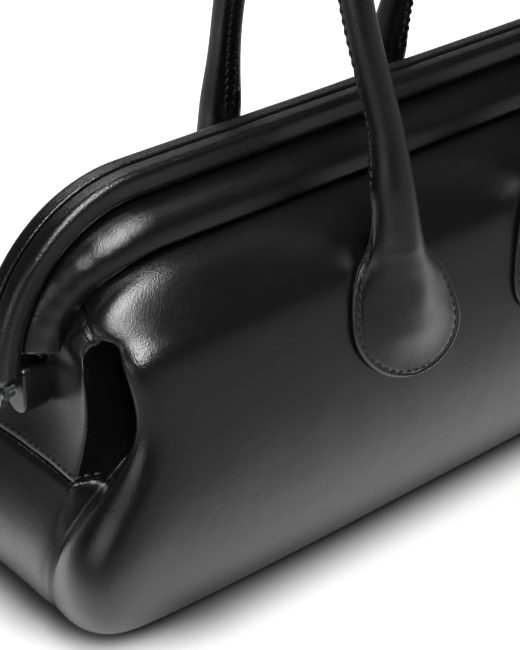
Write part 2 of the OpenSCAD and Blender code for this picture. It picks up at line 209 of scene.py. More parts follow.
def waves(p, pitch, seed):
    """Slow unevenness of hand work, from -1 to 1: a mean of six sines in fixed odd directions,
    with wavelengths round the pitch."""
    rng = np.random.default_rng(seed)
    k = unit(rng.normal(size=(6, 3))) * (2 * np.pi / (pitch * rng.uniform(0.7, 1.6, (6, 1))))
    return np.sin(p @ k.T + rng.uniform(0, 6.28, 6)).mean(-1) * 1.4


def grid_faces(rows, cols, wrap=False):
    """Quads of a grid numbered row by row; wrap joins its last column to its first."""
    j, i = np.meshgrid(np.arange(rows - 1), np.arange(cols if wrap else cols - 1), indexing="ij")
    a, b = j * cols + i, j * cols + (i + 1) % cols
    return np.stack([a, b, b + cols, a + cols], -1).reshape(-1, 4)


def end_fans(rows, cols):
    """Triangles that close a tube of rings round the middle of each end. The two middles are
    numbered after the points of the rings."""
    i, last, middle = np.arange(cols), (rows - 1) * cols, np.full(cols, rows * cols)
    after = (i + 1) % cols
    return np.concatenate([np.stack([after, i, middle], 1),
                           np.stack([last + i, last + after, middle + 1], 1)])


def mesh_object(name, points, quads, triangles=(), uv=None, edge=None):
    """An object at the origin from points in millimetres and faces. uv is in millimetres for each
    point, and edge is 1 for a point on a cut edge of the leather."""
    mesh = bpy.data.meshes.new(name)
    faces = np.asarray(quads).tolist() + np.asarray(triangles).tolist()
    mesh.from_pydata(np.asarray(points, float).reshape(-1, 3) * MM, [], faces)
    mesh.polygons.foreach_set("use_smooth", np.ones(len(mesh.polygons), bool))
    if uv is not None:
        corners = np.zeros(len(mesh.loops), np.int32)
        mesh.loops.foreach_get("vertex_index", corners)
        at_corners = (uv.reshape(-1, 2) * MM)[corners].astype(np.float32)
        mesh.uv_layers.new(name="surface").uv.foreach_set("vector", at_corners.ravel())
    cut = mesh.attributes.new("cut_edge", "FLOAT", "POINT")
    values = np.zeros(len(mesh.vertices)) if edge is None else np.asarray(edge, float).ravel()
    cut.data.foreach_set("value", values.astype(np.float32))
    mesh.update()
    return placed(name, mesh)


def placed(name, data):
    """A new object in the scene."""
    obj = bpy.data.objects.new(name, data)
    bpy.context.scene.collection.objects.link(obj)
    return obj


def sheet(name, outer, inner, edge=None):
    """Closed sheet of leather or cloth between an outer and an inner grid of the same size: the
    outer quads, the inner quads turned round, and a rim of quads between the two borders."""
    rows, cols = outer.shape[:2]
    skin = rows * cols
    quads = grid_faces(rows, cols)
    index = np.arange(skin).reshape(rows, cols)
    border = np.concatenate([index[0, :-1], index[:-1, -1], index[-1, :0:-1], index[:0:-1, 0]])
    after = np.roll(border, -1)
    rim = np.stack([border, border + skin, after + skin, after], 1)
    uv = np.stack([arc(outer, 1), arc(outer, 0)], -1).reshape(-1, 2)
    edge = np.zeros(skin) if edge is None else edge.ravel()
    return mesh_object(name, np.concatenate([outer.reshape(-1, 3), inner.reshape(-1, 3)]),
                       np.concatenate([quads, quads[:, ::-1] + skin, rim]),
                       uv=np.concatenate([uv, uv]), edge=np.concatenate([edge, edge]))


def solid(name, rings):
    """Closed solid through rings of points, with a fan of triangles round the middle of each
    end."""
    rows, cols = rings.shape[:2]
    points = np.concatenate([rings.reshape(-1, 3), [rings[0].mean(0), rings[-1].mean(0)]])
    along = np.broadcast_to(arc(rings[:, 0])[:, None], (rows, cols))
    across = np.broadcast_to(arc(rings[rows // 2])[None], (rows, cols))
    uv = np.stack([along, across], -1).reshape(-1, 2)
    return mesh_object(name, points, grid_faces(rows, cols, wrap=True), end_fans(rows, cols),
                       uv=np.concatenate([uv, [[0, 0], [along[-1, 0], 0]]]))


def front_to_back(points):
    """Points mirrored across the plane between the front and the back: y changes its sign."""
    return points * np.array([1, -1, 1])


def left_to_right(points):
    """Points mirrored across the plane between the ends: x changes its sign."""
    return points * np.array([-1, 1, 1])


def on_side(side, *grids):
    """A sheet's grids on a side of the bag. For the back and the right they are mirrored, with
    their columns turned round so that the faces still point out."""
    if side in ("front", "left"):
        return grids
    mirror = front_to_back if side == "back" else left_to_right
    return [mirror(grid)[:, ::-1] for grid in grids]


def end_half(end, half, grids):
    """The front or the back half of grids that run round the left end, on an end of the bag."""
    middle = grids[0].shape[1] // 2
    cols = slice(middle, None) if half == "front" else slice(middle + 1)
    return on_side(end, *(grid[:, cols] for grid in grids))


def mirrored(obj, names=SIDES, axis=1):
    """A solid's mirror image across an axis, named for the other side, with its faces turned to
    point out again."""
    mesh = obj.data.copy()
    mesh.transform(Matrix.Diagonal([-1 if k == axis else 1 for k in range(3)] + [1]))
    mesh.flip_normals()
    mesh.name = obj.name.replace(*names)
    return placed(mesh.name, mesh)


# ---------------------------------------------------------------- the walls

# radius of the frame's corners, and height and depth of its rails
CORNER_R, RAIL_H, RAIL_D = 49.0, 10.0, 7.5
# how far the felt of a rail lies in from its leather's surface
FELT_IN = 1.3
# height of the rolls, and their depth along the top and at their ends
ROLL_H, ROLL_D, ROLL_END_D = 13.0, 18.5, 9.0
# the tuck's lowest and highest level, and how far in its rim and its fold stand
TUCK_LOW, TUCK_HIGH, RIM_BACK, TUCK_REACH = 50.0, 106.0, 29.0, 60.0
RISE = TUCK_HIGH - TUCK_LOW
# how far the walls' foot and the strips of the ends stay in from the bag's widest places
FOOT_IN_X, FOOT_IN_Y, STRIP_IN = 23, 20, 19
# the middle stretch of the walls, which runs straight
STRAIGHT_X = 55
# air between pieces that lie on each other, height of the foot, and thickness of the cloth
SEAT, FLOOR_GAP, CLOTH = 0.3, 0.4, 0.8
# depth and width of the dip beside the seams at the sides of a piece, and beside a level seam
SIDE_DIP, LEVEL_DIP = (0.9, 1.3), (0.7, 1.0)
# how deep the hand-made hollows of the walls may get
HOLLOW = 0.35
# stations on the wall net: the fold's seam, the other fold, the middle of the far end, the level
# seam of the ends, and the groove
FOLD_S, FAR_FOLD_S, LAST_S, SEAM_V, LAST_V = 6.0, 20.0, 26.0, 5.1, 13.0
LINING_VS = np.linspace(2, 12.4, 76)
GROOVE_R = CORNER_R - ROLL_H - SEAT


def corner():
    """Centre of the frame's left and right corners: distance from the middle, and height."""
    return mm("half_length") - CORNER_R - RAIL_H, mm("rail_top") - CORNER_R - RAIL_H


def level_cut(z, y, rim, fold, strip, fold_y):
    """Half of a level cut: out along the front, in over the rim of the tuck, and out again on the
    strip at the end, whose edge is held by a point named twice."""
    back, hide, edge = (4, 3, 29) if z > TUCK_LOW else (0, 0, fold_y - 4)
    turn_y = min(max(y - 16, fold_y + 9), y - 2)
    outline = [(0, y), (STRAIGHT_X, y), (105, y - 0.5), (rim - 28, y - 1.5), (rim - 5, y - 3),
               (rim + 1, turn_y), (rim - 0.3 * (rim - fold), fold_y + 4.5), (fold, fold_y),
               (strip - 0.25 * (strip - fold), fold_y - 2.5 - hide), (strip, edge),
               (strip + 0.5, edge - 2), (strip - back, 10), (strip - back, 0)]
    return [(x, depth, z) for x, depth in outline]


def lintel(z, y, end):
    """Half of a cut above the tuck, which only turns the corner, broadly."""
    turn = [(57, 0.5), (36, 2), (21, 5), (12.5, 9), (8.5, 12), (5.5, 14.2), (3.5, 16.7),
            (2, 19.7), (1.5, 22.7)]
    outline = [(0, y), (STRAIGHT_X, y)] + [(end - back, y - drop) for back, drop in turn]
    return [(x, depth, z) for x, depth in outline + [(end - 5, 10), (end - 5, 0)]]


def over_corner(y, z, turns):
    """Half of a row that runs level along the top and then round the frame's corner. Each turn
    has its angle from the top, its depth, and how far out it lies from the groove."""
    corner_x, corner_z = corner()
    row = [(x, y, z) for x in (0, STRAIGHT_X, corner_x - 22)]
    for turn, depth, out in turns:
        t, r = math.radians(turn), GROOVE_R + out
        row.append((corner_x + r * math.sin(t), depth, corner_z + r * math.cos(t)))
    return row


def wall_net():
    """Control points of the whole front half, from the middle of one end round to the middle of
    the other: ten level cuts, then a row over the shoulder and a row in the groove under the
    roll."""
    half_l, half_d = mm("half_length"), mm("half_depth")
    groove_z = corner()[1] + GROOVE_R
    rim, fold, strip = half_l - RIM_BACK, half_l - TUCK_REACH, half_l - STRIP_IN
    foot, bulge = half_l - FOOT_IN_X, half_l - 9
    half = np.array([
        level_cut(FLOOR_GAP, half_d - FOOT_IN_Y, foot, foot, foot, 24),
        level_cut(FLOOR_GAP, half_d - 7, bulge, bulge, bulge, 24),
        level_cut(7, half_d - 0.5, half_l - 1, half_l - 1, half_l - 1, 25),
        level_cut(0.6 * TUCK_LOW, half_d, half_l, half_l - 3, half_l - 3, 27),
        level_cut(TUCK_LOW, half_d - 1.5, rim + 17, half_l - 21, half_l - 14, 30),
        level_cut(TUCK_LOW + 0.34 * RISE, half_d - 4, rim, fold, strip, 32),
        level_cut(TUCK_LOW + 0.68 * RISE, half_d - 8, rim + 1, fold, strip, 29),
        level_cut(TUCK_LOW + 0.86 * RISE, half_d - 12.2, rim + 2, fold + 7, strip, 24),
        lintel(TUCK_LOW + 0.93 * RISE, half_d - 14.8, strip),
        lintel(TUCK_HIGH + 2, half_d - 19.8, strip),
        over_corner(half_d - 31, groove_z - 3.6, [
            (7, half_d - 31.5, -3.3), (33, half_d - 33, 0.3), (44, 23, 3.2), (51, 21.5, 4.2),
            (57, 20, 4.8), (62, 18.5, 5.2), (66, 17, 5.4), (72, 14, 4.6), (80, 8, -1.4),
            (86, 0, -1.4)]),
        over_corner(14, groove_z + 0.4, [
            (6, 13.5, 0.3), (20, 12, 0), (33, 10, -0.3), (42, 9, -0.3), (50, 8.5, -0.3),
            (56, 8.2, -0.4), (60, 8, -0.5), (66, 7, -0.8), (76, 5, -1.8), (84, 0, -1.8)]),
    ], float)
    # near the middle of the end the walls stop lower, so their level cuts close up towards it
    cuts, shoulder = half[:10, :, 2], half[10, :, 2]
    room = np.minimum(1, (shoulder - 2.5 - TUCK_LOW) / (RISE + 2))
    share = np.clip((TUCK_HIGH + 2 - cuts) / (RISE + 2), 0, 1)
    closed_up = TUCK_LOW + (RISE + 2) * room * (1 - share ** (3 - 2 * room))
    half[:10, :, 2] = np.where(cuts > TUCK_LOW, closed_up, cuts)
    half[:, :, 1] *= -1
    return np.concatenate([left_to_right(half[:, :0:-1]), half], axis=1)


def wall_grid(us, vs, depth=0.0):
    """Grid on the front half of the walls, moved in under its surface by a depth. The normal
    comes from the surface itself, a small step to each side, so pieces that meet agree on it."""
    net, step = wall_net(), 0.02
    us, vs = np.asarray(us, float), np.asarray(vs, float)
    along = (on_net(net, np.minimum(us + step, LAST_S), vs)
             - on_net(net, np.maximum(us - step, 0), vs))
    up = (on_net(net, us, np.minimum(vs + step, LAST_V))
          - on_net(net, us, np.maximum(vs - step, 0)))
    normal = unit(np.cross(along, up))
    p = on_net(net, us, vs)
    soft = smooth(vs, 1.5, 4)[:, None] * (1 - smooth(vs, 12, 13))[:, None]
    hollow = HOLLOW * soft * (0.5 + 0.5 * waves(p, 70, 3))
    return p - normal * (depth + hollow)[..., None], normal


def stretches(*parts):
    """Stations that run through stretches, each with its ends and its number of points. Where
    one stretch starts at the end of the last, that station is there once."""
    lines = [np.linspace(*part) for part in parts]
    return np.concatenate([line[:-1] for line in lines[:-1]] + lines[-1:])


FRONT_US = stretches((FOLD_S, 10, 90), (10, 16, 60), (16, FAR_FOLD_S, 90))
WALL_VS = stretches((0, 2.5, 26), (2.5, 8, 60), (8, LAST_V, 84))
END_US = stretches((0, 2, 24), (2, FOLD_S, 72))


def side_dip(grid):
    """How far leather dips beside the turned seams at both its sides."""
    run, (depth, width) = arc(grid, 1), SIDE_DIP
    return depth * hump(run, width) + depth * hump(run[:, -1:] - run, width)


def front_wall():
    """Front panel: the wall net between its two folds, dipping into the seam at each side."""
    outer, normal = wall_grid(FRONT_US, WALL_VS)
    return (outer - normal * side_dip(outer)[..., None],
            wall_grid(FRONT_US, WALL_VS, mm("wall_leather"))[0])


def end_wall(vs, depth=0.0, us=END_US):
    """Left end from its front fold round to its back fold: the first columns of the wall net and
    their mirror image, at heights on the net."""
    return [np.concatenate([front_to_back(half[:, :0:-1]), half], 1)
            for half in wall_grid(us, vs, depth)]


def end_piece(low, high, n):
    """A piece of the left end's leather: sunk a little at the seams to its neighbours, at its
    sides and at the level seam between the gusset and the end flap."""
    vs = np.linspace(low, high, n)
    outer, normal = end_wall(vs)
    rise = arc(outer, 0)
    level = rise if low > 0 else rise[-1:] - rise
    depth, width = LEVEL_DIP
    dip = side_dip(outer) + depth * hump(level, width)
    return outer - normal * dip[..., None], end_wall(vs, mm("wall_leather"))[0]


def gusset():
    """Tucked gusset of the left end, from the level seam up to the groove."""
    return end_piece(SEAM_V, LAST_V, 100)


def lining_grids(end):
    """Cotton lining of the front or of the left end: the wall moved in by its leather and a
    little air, from above the base to below the groove."""
    depths = [mm("wall_leather") + SEAT + t for t in (0, CLOTH)]
    if end:
        us = np.concatenate([np.linspace(0, 2.4, 30), np.linspace(4.7, FOLD_S, 24)])
        return [end_wall(LINING_VS, depth, us)[0] for depth in depths]
    # the cotton bridges the tight folds: the rims of the tucks, and the edges of the strip above
    us = np.concatenate([np.linspace(FOLD_S, 7.1, 16), np.linspace(9.4, 16.6, 90),
                         np.linspace(18.9, FAR_FOLD_S, 16)])
    return [wall_grid(us, LINING_VS, depth)[0] for depth in depths]


def foot_line(inset):
    """The closed line along the foot of all four walls, drawn in by an inset."""
    front = wall_grid(np.linspace(FOLD_S, FAR_FOLD_S, 160), [0.0])[0][0, 1:-1]
    left = end_wall([0.0])[0][0]
    line = np.concatenate([left, front, left_to_right(left)[::-1], front_to_back(front)[::-1]])
    return line * np.array([1 - inset / (mm("half_length") - FOOT_IN_X),
                            1 - inset / (mm("half_depth") - FOOT_IN_Y), 0])


def layer(name, low, high, inset, soft):
    """A layer of the base: the foot line carried over a rounded edge of the given softness, and
    closed across its top and bottom by smaller and smaller copies of itself."""
    turn = np.linspace(0, np.pi / 2, 5)
    lift, pull = soft * (1 - np.cos(turn)), soft * (1 - np.sin(turn))
    heights = np.concatenate([[low] * 3, low + lift, high - lift[::-1], [high] * 3])
    insets = np.concatenate([[30, 12, 4], pull, pull[::-1], [4, 12, 30]]) + inset
    return solid(name, np.stack([foot_line(i) + [0, 0, h] for i, h in zip(insets, heights)]))


# ---------------------------------------------------------------- the frame


def along_frame(section, turns=(-90, 90), n_corner=40, n_top=70):
    """A flat closed section carried round the frame from one end to the other. The section is a
    ring, or a function that gives it at a turn of the corner: first the distance out from the
    centre of the corners, then the depth to the front. Stations run up the left corner, along
    the top and down the right corner."""
    corner_x, corner_z = corner()
    low, high = np.radians(turns)
    t = np.concatenate([np.linspace(low, 0, n_corner), np.zeros(n_top),
                        np.linspace(0, high, n_corner)])
    x = np.concatenate([np.full(n_corner, -corner_x),
                        np.linspace(-corner_x, corner_x, n_top + 2)[1:-1],
                        np.full(n_corner, corner_x)])
    rings = np.stack([section(math.degrees(abs(a))) if callable(section) else section
                      for a in t])
    out, depth = rings[..., 0], rings[..., 1]
    t, x = t[:, None], x[:, None]
    return np.stack([x + out * np.sin(t), -depth, corner_z + out * np.cos(t)], -1)


def rounded(points, n):
    """Closed cubic B-spline through the neighbourhood of a ring of control points, n points
    round. Points named twice hold the line closer to a corner."""
    s = np.linspace(0, len(points), n, endpoint=False)
    k = np.floor(s).astype(int)
    weights = spline_weights(s - np.floor(s))
    return sum(weights[j][:, None] * np.take(points, k - 1 + j, axis=0, mode="wrap")
               for j in range(4))


def rail_section(inset=0.0, n=48):
    """D section of a rail: flat towards the other rail, round at the front, inset by a margin."""
    low, high = CORNER_R + inset, CORNER_R + RAIL_H - inset
    near, far = 0.5 + inset, 0.5 + RAIL_D - inset
    r, c = 3.5 - inset, 0.8 - 0.5 * inset / FELT_IN
    turn = np.linspace(0, np.pi / 2, 9)
    sin, cos = np.sin(turn), np.cos(turn)
    ring = np.concatenate([np.stack(quarter, 1) for quarter in (
        (low + r - r * cos, far - r + r * sin), (high - r + r * sin, far - r + r * cos),
        (high - c + c * cos, near + c - c * sin), (low + c - c * sin, near + c - c * cos))])
    return resampled_ring(np.concatenate([ring, ring[:1]]), n)


def outwards(rings):
    """Unit vectors out from the middle of each ring."""
    return unit(rings - rings.mean(1, keepdims=True))


def rail(name):
    """Front rail in its leather: the D section carried round the frame, swelling and sinking by a
    fraction of a millimetre, as leather over felt does."""
    rings = along_frame(rail_section())
    dent = 0.12 + 0.12 * waves(rings, 45, 11)
    return solid(name, rings - outwards(rings) * dent[..., None])


def roll_section(turn, n=56):
    """Section of the padded roll at a turn of the corner: deepest along the top, thinner round
    the corners, plump at the front, with a raised cord sewn in along its upper edge."""
    full = math.cos(math.radians(min(turn, 90))) ** 2
    depth = ROLL_END_D + (ROLL_D + 0.9 - ROLL_END_D) * full
    low, high, near = CORNER_R - ROLL_H - 0.2, CORNER_R - 0.15, 0.7
    outline = [(0, 0), (0, 0), (0, 0.5), (0, 0.86), (0.02, 1), (0.14, 1.02), (0.34, 1.01),
               (0.56, 0.95), (0.76, 0.82), (0.92, 0.64), (1, 0.47), (1, 0.3), (1, 0), (1, 0)]
    return rounded([(low + up * (high - low), near + out * depth) for up, out in outline], n)


def padded_roll(name):
    """Front roll: its section carried from one end of the frame to the other, with slow hand-made
    unevenness, and shallow puckers that fan out where the leather is eased round the corners."""
    rings = along_frame(roll_section, turns=(-80, 80), n_corner=70, n_top=90)
    corner_x, corner_z = corner()
    side = np.maximum(np.abs(rings[..., 0]) - corner_x, 0)
    turn = np.degrees(np.arctan2(side, np.maximum(rings[..., 2] - corner_z, 1e-6)))
    puckers = np.sin(turn * 0.62 + 1.1 * np.sin(turn * 0.11)) * smooth(turn, 6, 26)
    front = smooth(-rings[..., 1], 2, 9)
    dent = front * (0.16 + 0.16 * waves(rings, 38, 21) + 0.1 + 0.1 * puckers)
    return solid(name, rings - outwards(rings) * dent[..., None])


# radius of the tongue's foot, and how far the hinge lies under the centre of the corner
TONGUE_R, HINGE_DROP = 5.5, 6.5


def hinge_leather(name):
    """Left end of the rolls: a flat tongue with a round foot, its outline carried across its
    thickness over soft edges."""
    corner_x, corner_z = corner()
    hinge_z, r = corner_z - HINGE_DROP, TONGUE_R
    out, inside = corner_x + CORNER_R - 0.4, mm("half_length") - 21
    turn = np.linspace(0, np.pi, 25)
    foot = np.stack([-r * np.cos(turn), hinge_z - 5 - r * np.sin(turn)], 1)
    top = np.array([[r, hinge_z + 6.5], [r - 1.5, hinge_z + 8], [1.5 - r, hinge_z + 8],
                    [-r, hinge_z + 6.5]])
    line = resampled_ring(np.concatenate([foot, top, foot[:1]]), 72)
    middle = np.array([0, hinge_z - 0.5])
    bend = np.linspace(0, np.pi / 2, 6)
    shrink, lift = 1 - 0.14 * (1 - np.sin(bend)), 1.2 * (1 - np.cos(bend))
    pull = np.concatenate([[0.45, 0.75], shrink, shrink[::-1], [0.75, 0.45]])
    x = np.concatenate([[-out] * 2, -out + lift, -inside - lift[::-1], [-inside] * 2])
    rings = middle + (line - middle) * pull[:, None, None]
    x = np.broadcast_to(x[:, None, None], rings.shape[:2] + (1,))
    return solid(name, np.concatenate([x, rings], -1))


# ---------------------------------------------------------------- the handles

# from the tip of the left leaf up the leg to the top of the arch: across, out from the bag, and up
LEG_LINE = [(-38.4, 52.2, 57.8), (-39.0, 52.2, 70), (-39.9, 52.2, 88), (-40.3, 52.2, 102),
            (-41.6, 50.9, 118), (-42.3, 47.2, 134), (-43.4, 42.4, 152), (-46.4, 36.4, 172),
            (-47.6, 29.6, 194), (-45.9, 23.6, 214), (-39.5, 19.2, 229), (-28.0, 16.4, 239),
            (-13.0, 15.1, 243.1), (0, 15.0, 243.4)]
# the arch's lean to the bag and the leaf's lean on the wall, in degrees
ARCH_LEAN, LEAF_LEAN = 15.5, 8
# height of the leaf's round tip, and how far the outer face of its edge stands off the wall
LEAF_TIP, LEAF_EDGE = 23, 1.9
# how far the butted seam is turned round the leg of each handle, in degrees
SEAM_TURN = {"front": 55.0, "back": 11.0}
# height at which the rope starts, where the leg stands on its own
ROPE_LOW = 103
# heights at which the opened frame passes the legs, and the room that it needs there
PASSING_Z = [94, 101, 106, 114, 118, 123, 128, 135, 142, 150]
PASSING_ROOM = [30, 40.4, 41.8, 41.8, 41.3, 39.8, 39.2, 38.9, 35, 0]
# stretches of the leather, by its length above the leaf's tip, over which it turns from a flat
# leaf to a closed round, and over which it leaves the wall
ROLLING, LEAVING = (27, 70), (38, 52)
# over which its raised middle, the leaf's lean, its stitched edge and its painted edge fade out
RAISED, LEANING, SEWN, PAINTED = (46, 60), (36, 76), (52, 72), (60, 74)
# over which the butted seam starts, turns round the leg, and eases back a little
BUTTED, TURNING, EASING = (66, 76), (40, 76), (80, 130)
# depth and width of the thin edge and of the thread's furrow, height and width of the ridges
# beside the butted seam, and depth and width of its gap
PRESSED, FURROW, RIDGE, GAP = (0.75, 1.1), (0.45, 0.9), (0.2, 0.75), (0.35, 0.45)
# places across the leather, from edge to edge
ACROSS = np.linspace(-1, 1, 81)


def wall_face(z):
    """Depth of the front wall's face at a height, along its middle column."""
    line = wall_grid([LAST_S / 2], np.linspace(3, 10.5, 80))[0][:, 0]
    return np.interp(z, line[:, 2], -line[:, 1])


def leaf_half(rise):
    """Half width of the cut leather at a length above the tip of the leaf: an ellipse at the tip,
    widest above it, a waist where the leather leaves the wall, and then the round of the leg,
    which is thick at its foot and tapers to the handle's own round."""
    wide, rolled = mm("leaf_width") / 2, math.pi * mm("handle_width") / 2
    line = on_line([(0, wide), (10, wide), (20, wide), (30, wide - 1.2), (38, 22.6), (47, 21.0),
                    (58, 22.6), (70, 25.8), (82, 21.6), (96, 18.2), (112, rolled),
                    (130, rolled), (400, rolled)], 300)
    t = np.clip(rise / LEAF_TIP, 0, 1)
    tip = np.sqrt(1 - (1 - t) ** 2) ** 0.95
    return np.maximum(tip * np.interp(rise, line[:, 0], line[:, 1]), 0.6)


def handle_spine():
    """Middle line of the left half of the front handle: lengths above the leaf's tip, points, and
    the directions into the arch and forwards, which stays square to the arch."""
    line = resampled(on_line(LEG_LINE, 400) * [1, -1, 1], 600)
    run = arc(line)
    rise = np.concatenate([np.linspace(0, 1, 26)[:-1] ** 1.7 * 14, np.arange(14, 96, 0.62),
                           np.linspace(96, run[-1], 120)])
    spine = at_lengths(line, rise)
    tangent = unit(np.gradient(spine, rise, axis=0))
    plane = unit(np.cross([1.0, 0, 0], tangent * [0, 1, 1]))
    lean = np.interp(rise, [0, 130, 160, run[-1]], [0, 0, 1, 1])[:, None]
    slope = math.radians(ARCH_LEAN)
    arch_plane = unit(np.array([0, -math.cos(slope), -math.sin(slope)]))
    plane = unit(plane * (1 - lean) + arch_plane * lean)
    inwards = unit(np.cross(tangent, plane))
    return rise, spine, inwards, unit(np.cross(inwards, tangent))


def rolled_up(half, lift, q):
    """Place across the leather and drop from its middle. Across a row, the leather's angle to its
    middle is A*sin(pi*a) on the wall, so that both edges lie flat and the middle is raised over
    the end of the rope, and pi*a up the leg, which is a closed round. A share q moves from one
    to the other. Summing the cosine and the sine of that angle gives the two."""
    a, half, q = ACROSS, half[:, None], q[:, None]
    heights_a = np.linspace(0, 1.5, 60)
    heights = np.sin(heights_a[:, None] * np.sin(np.pi * np.linspace(0, 1, len(a)))).mean(1)
    bow = np.interp(lift[:, None] / half, heights, heights_a)
    angle = (1 - q) * bow * np.sin(np.pi * np.abs(a)) * np.sign(a) + q * np.pi * a

    def total(f):
        mid = (f[:, 1:] + f[:, :-1]) / 2 * (a[1] - a[0])
        whole = np.concatenate([np.zeros((len(f), 1)), np.cumsum(mid, 1)], 1)
        return half * (whole - whole[:, [len(a) // 2]])

    return total(np.cos(angle)), total(np.sin(angle))


def handle_grid(twist, thickness=0.0):
    """Left half of the front handle, as one cut of leather. Columns run across the leather and
    rows along it, from the tip of the leaf up the leg to the top of the arch. The rolled-up
    section stands across the spine, and on the wall its depth is counted from the wall's face."""
    r = mm("handle_width") / 2
    rise, spine, inwards, forwards = handle_spine()
    half = leaf_half(rise)
    q = smooth(rise, *ROLLING)
    # how far the leather's middle has still to rise off the wall, besides what its rolling gives
    rolling = half * np.sin(np.pi * q[:, None] * np.linspace(0, 1, len(ACROSS))).mean(1)
    lift = -spine[:, 1] + r - wall_face(spine[:, 2]) - SEAT - LEAF_EDGE - rolling
    lift = np.clip(lift, 0.1, 12) * smooth(rise, -2, 20) * (1 - smooth(rise, *RAISED))
    across, drop = rolled_up(half, lift, q)
    slant = np.sqrt(1 + np.gradient(half, rise) ** 2)[:, None]
    edge = (1 - np.abs(ACROSS))[None] * half[:, None] / slant
    sewn, butted = (1 - smooth(rise, *SEWN))[:, None], smooth(rise, *BUTTED)[:, None]
    # the edge is pressed thin, the thread draws in a furrow, and the butted seam stands proud
    furrow = FURROW[0] * hump(edge - mm("stitch_margin"), FURROW[1])
    relief = sewn * (-PRESSED[0] * (1 - smooth(edge, 0, PRESSED[1])) ** 2 - furrow)
    ridge, gap = RIDGE[0] * hump(edge - 0.9, RIDGE[1]), GAP[0] * hump(edge, GAP[1])
    relief = relief + butted * (ridge - gap)
    turn = np.radians(twist) * smooth(rise, *TURNING) * (1 - 0.15 * smooth(rise, *EASING))
    sin, cos = np.sin(turn)[:, None], np.cos(turn)[:, None]
    tilt = np.radians(LEAF_LEAN) * (1 - smooth(rise, *LEANING))
    leaf_inwards = np.stack([np.cos(tilt), 0 * tilt, -np.sin(tilt)], 1)
    side = unit(leaf_inwards * (1 - q)[:, None] + inwards * q[:, None])
    x, out = across * cos + (r - drop) * sin, (r - drop) * cos - across * sin
    p = spine[:, None] + x[..., None] * side[:, None] + out[..., None] * forwards[:, None]
    # on the wall, depth is counted from the face behind each point
    flat = p.copy()
    bump = drop.max(1, keepdims=True) - drop
    flat[..., 1] = -(wall_face(p[..., 2]) + SEAT + LEAF_EDGE + bump)
    keep = smooth(rise, *LEAVING)[:, None, None]
    p = flat * (1 - keep) + p * keep
    # the inner side is pressed in a little where the roll and the rail of the opened frame pass
    room, soft = np.interp(p[..., 2], PASSING_Z, PASSING_ROOM), 0.4
    p[..., 1] = -room - soft * np.logaddexp(0, (-p[..., 1] - room) / soft)
    normal = grid_normals(p)
    normal[0] = normal[2]
    return p + normal * (relief - thickness)[..., None], rise, half, edge


def whole_handle(grid):
    """Left half of a handle joined to its mirror image at the top of the arch."""
    return np.concatenate([grid, left_to_right(grid[-2::-1])])


def handle_rope():
    """Round rings along the front handle's middle line, where its legs stand on their own."""
    line = on_line(LEG_LINE, 120)
    line = whole_handle(line[line[:, 2] > ROPE_LOW] * [1, -1, 1])
    along = unit(np.gradient(line, axis=0))
    u = unit(np.cross(along, [0, 1.0, 0.25]))[:, None]
    v = np.cross(along, u[:, 0])[:, None]
    r = mm("handle_width") / 2 - mm("cover_leather") - 0.25
    turn = around(24)[:, None]
    return line[:, None] + r * (np.cos(turn) * u + np.sin(turn) * v)


# ---------------------------------------------------------------- the stitching

# rings and points round of one stitch
STITCH_ROWS, STITCH_ROUND = 7, 8
# its length and width, how far its middle stands proud, and how far its ends dive, by its width
STITCH_LENGTH, STITCH_WIDTH, STITCH_PROUD, STITCH_DIVE = 2.9, 1.05, 0.12, 0.42
# height that the stitches round a leaf reach, above its tip, and their way from the butted seam
LEAF_SEWN, FROM_SEAM = 49, 1.75
# height of the end stitches above their seam, and how far from the gusset's sides they stop
END_MARGIN, END_STOP = 2.6, 3


def stitches(name, at, along, out):
    """Sewing thread: at each place one stitch, rings of points whose radius is the fourth root of
    1 - s^4 and whose ends dive into the leather by s^2."""
    rows, cols, half, width = STITCH_ROWS, STITCH_ROUND, STITCH_LENGTH / 2, STITCH_WIDTH
    s, dive = np.linspace(-0.96, 0.96, rows)[:, None], STITCH_DIVE * width
    turn, radius = around(cols), (1 - s**4) ** 0.25 * width / 2
    stitch = np.stack([np.broadcast_to(s * half, (rows, cols)), radius * np.cos(turn),
                       radius * np.sin(turn) - s**2 * dive], -1).reshape(-1, 3)
    stitch = np.concatenate([stitch, [[-half, 0, -dive], [half, 0, -dive]]])
    along = unit(along)
    side = unit(np.cross(out, along))
    out = np.cross(along, side)
    points = at[:, None] + sum(stitch[None, :, [k]] * axis[:, None]
                               for k, axis in enumerate((along, side, out)))
    shift = (np.arange(len(at)) * len(stitch))[:, None, None]
    return mesh_object(name, points,
                       (grid_faces(rows, cols, wrap=True) + shift).reshape(-1, 4),
                       (end_fans(rows, cols) + shift).reshape(-1, 3))


def lookup(grid, row, col):
    """Values of a grid between its rows and columns, at fractional places, by weights of the four
    neighbours."""
    j = np.clip(np.floor(row).astype(int), 0, grid.shape[0] - 2)
    i = np.clip(np.floor(col).astype(int), 0, grid.shape[1] - 2)
    f, g = np.clip(row - j, 0, 1)[:, None], np.clip(col - i, 0, 1)[:, None]
    return ((grid[j, i] * (1 - g) + grid[j, i + 1] * g) * (1 - f)
            + (grid[j + 1, i] * (1 - g) + grid[j + 1, i + 1] * g) * f)


def evenly(line, pitch):
    """Middles of stitches at equal distances along a line of places on the leather."""
    length = arc(line)[-1]
    n = max(int(length / pitch), 2)
    return at_lengths(line, (np.arange(n) + 0.5) * length / n)


